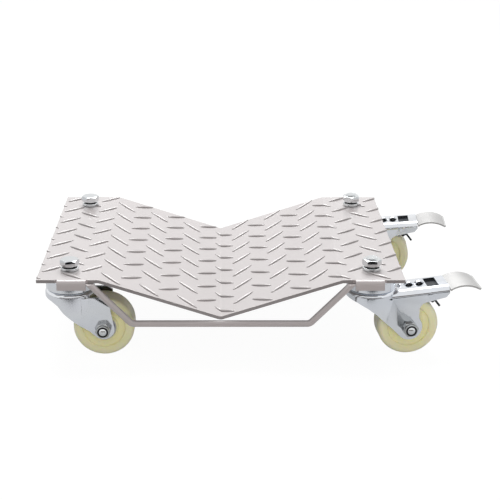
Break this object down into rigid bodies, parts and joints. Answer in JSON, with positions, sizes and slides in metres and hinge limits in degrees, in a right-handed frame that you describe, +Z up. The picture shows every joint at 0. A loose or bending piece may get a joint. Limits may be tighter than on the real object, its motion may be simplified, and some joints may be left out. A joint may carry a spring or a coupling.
{
  "type": "wheel dolly",
  "caption": "Low vehicle wheel dolly: V-bent tread-plate deck that cradles a tyre, bent brace rods, plain and pedal-braked swivel casters with nylon wheels.",
  "frame": {"origin": "on the floor, under the centre of the deck", "axes": "+X along the deck's length towards the braked casters, +Y across the deck, +Z up"},
  "size_m": [0.4962, 0.3152, 0.1142],
  "materials": {
    "deck_paint": "semi-gloss pale pinkish-grey powder coat",
    "zinc": "bright bluish zinc plating",
    "bolt_plating": "bright grey plating of bolts, nuts and washers",
    "steel": "ground steel",
    "nylon": "pale yellow moulded nylon",
    "seal": "black bearing seal",
    "pedal_finish": "matt pale plating",
    "brake_rubber": "black rubber",
    "black_oxide": "black oxide"
  },
  "bodies": {
    "deck": {"deck_plate": "deck_paint", "front_brace_rod": "deck_paint", "rear_brace_rod": "deck_paint", "spring_washers": "bolt_plating", "kingpin_bolts": "bolt_plating", "kingpin_nuts": "bolt_plating", "stem_bolts": "bolt_plating", "stem_nuts": "bolt_plating", "front_left_top_disc": "zinc", "front_left_kingpin_sleeve": "steel", "front_left_swivel_balls": "steel", "front_left_lower_race": "steel", "front_right_top_disc": "zinc", "front_right_kingpin_sleeve": "steel", "front_right_swivel_balls": "steel", "front_right_lower_race": "steel", "rear_left_top_disc": "zinc", "rear_left_kingpin_sleeve": "steel", "rear_left_swivel_balls": "steel", "rear_left_lower_race": "steel", "rear_right_top_disc": "zinc", "rear_right_kingpin_sleeve": "steel", "rear_right_swivel_balls": "steel", "rear_right_lower_race": "steel"},
    "front_left_caster": {"front_left_fork": "zinc", "front_left_axle_bolt": "bolt_plating", "front_left_axle_nut": "bolt_plating", "front_left_axle_sleeve": "steel"},
    "front_left_wheel": {"front_left_wheel": "nylon", "front_left_wheel_bearings": "seal"},
    "front_right_caster": {"front_right_fork": "zinc", "front_right_axle_bolt": "bolt_plating", "front_right_axle_nut": "bolt_plating", "front_right_axle_sleeve": "steel", "front_right_pedal_pin": "zinc", "front_right_leaf_spring": "zinc"},
    "front_right_wheel": {"front_right_wheel": "nylon", "front_right_wheel_bearings": "seal"},
    "front_right_pedal": {"front_right_brake_lever": "black_oxide", "front_right_brake_pedal": "pedal_finish", "front_right_brake_pad": "brake_rubber", "front_right_adjuster_screw": "black_oxide"},
    "rear_left_caster": {"rear_left_fork": "zinc", "rear_left_axle_bolt": "bolt_plating", "rear_left_axle_nut": "bolt_plating", "rear_left_axle_sleeve": "steel"},
    "rear_left_wheel": {"rear_left_wheel": "nylon", "rear_left_wheel_bearings": "seal"},
    "rear_right_caster": {"rear_right_fork": "zinc", "rear_right_axle_bolt": "bolt_plating", "rear_right_axle_nut": "bolt_plating", "rear_right_axle_sleeve": "steel", "rear_right_pedal_pin": "zinc", "rear_right_leaf_spring": "zinc"},
    "rear_right_wheel": {"rear_right_wheel": "nylon", "rear_right_wheel_bearings": "seal"},
    "rear_right_pedal": {"rear_right_brake_lever": "black_oxide", "rear_right_brake_pedal": "pedal_finish", "rear_right_brake_pad": "brake_rubber", "rear_right_adjuster_screw": "black_oxide"}
  },
  "joints": [
    {"name": "front_left_swivel", "type": "hinge", "parent": "deck", "child": "front_left_caster", "pos_m": [-0.1695, -0.1189, 0.079], "axis": [0, 0, 1], "continuous": true},
    {"name": "front_left_wheel_spin", "type": "hinge", "parent": "front_left_caster", "child": "front_left_wheel", "pos_m": [-0.132, -0.1189, 0.0345], "axis": [0, 1, 0], "continuous": true},
    {"name": "front_right_swivel", "type": "hinge", "parent": "deck", "child": "front_right_caster", "pos_m": [0.1695, -0.1189, 0.079], "axis": [0, 0, 1], "range_deg": [-110, 57]},
    {"name": "front_right_wheel_spin", "type": "hinge", "parent": "front_right_caster", "child": "front_right_wheel", "pos_m": [0.21134, -0.11524, 0.0345], "axis": [-0.0872, 0.9962, 0], "continuous": true},
    {"name": "front_right_pedal_rock", "type": "hinge", "parent": "front_right_caster", "child": "front_right_pedal", "pos_m": [0.23326, -0.11332, 0.07298], "axis": [-0.0872, 0.9962, 0], "range_deg": [0, 12]},
    {"name": "rear_left_swivel", "type": "hinge", "parent": "deck", "child": "rear_left_caster", "pos_m": [-0.1695, 0.1189, 0.079], "axis": [0, 0, 1], "continuous": true},
    {"name": "rear_left_wheel_spin", "type": "hinge", "parent": "rear_left_caster", "child": "rear_left_wheel", "pos_m": [-0.132, 0.1189, 0.0345], "axis": [0, 1, 0], "continuous": true},
    {"name": "rear_right_swivel", "type": "hinge", "parent": "deck", "child": "rear_right_caster", "pos_m": [0.1695, 0.1189, 0.079], "axis": [0, 0, 1], "range_deg": [-58, 109]},
    {"name": "rear_right_wheel_spin", "type": "hinge", "parent": "rear_right_caster", "child": "rear_right_wheel", "pos_m": [0.2114, 0.11597, 0.0345], "axis": [0.0698, 0.9976, 0], "continuous": true},
    {"name": "rear_right_pedal_rock", "type": "hinge", "parent": "rear_right_caster", "child": "rear_right_pedal", "pos_m": [0.23334, 0.11444, 0.07298], "axis": [0.0698, 0.9976, 0], "range_deg": [0, 12]}
  ]
}
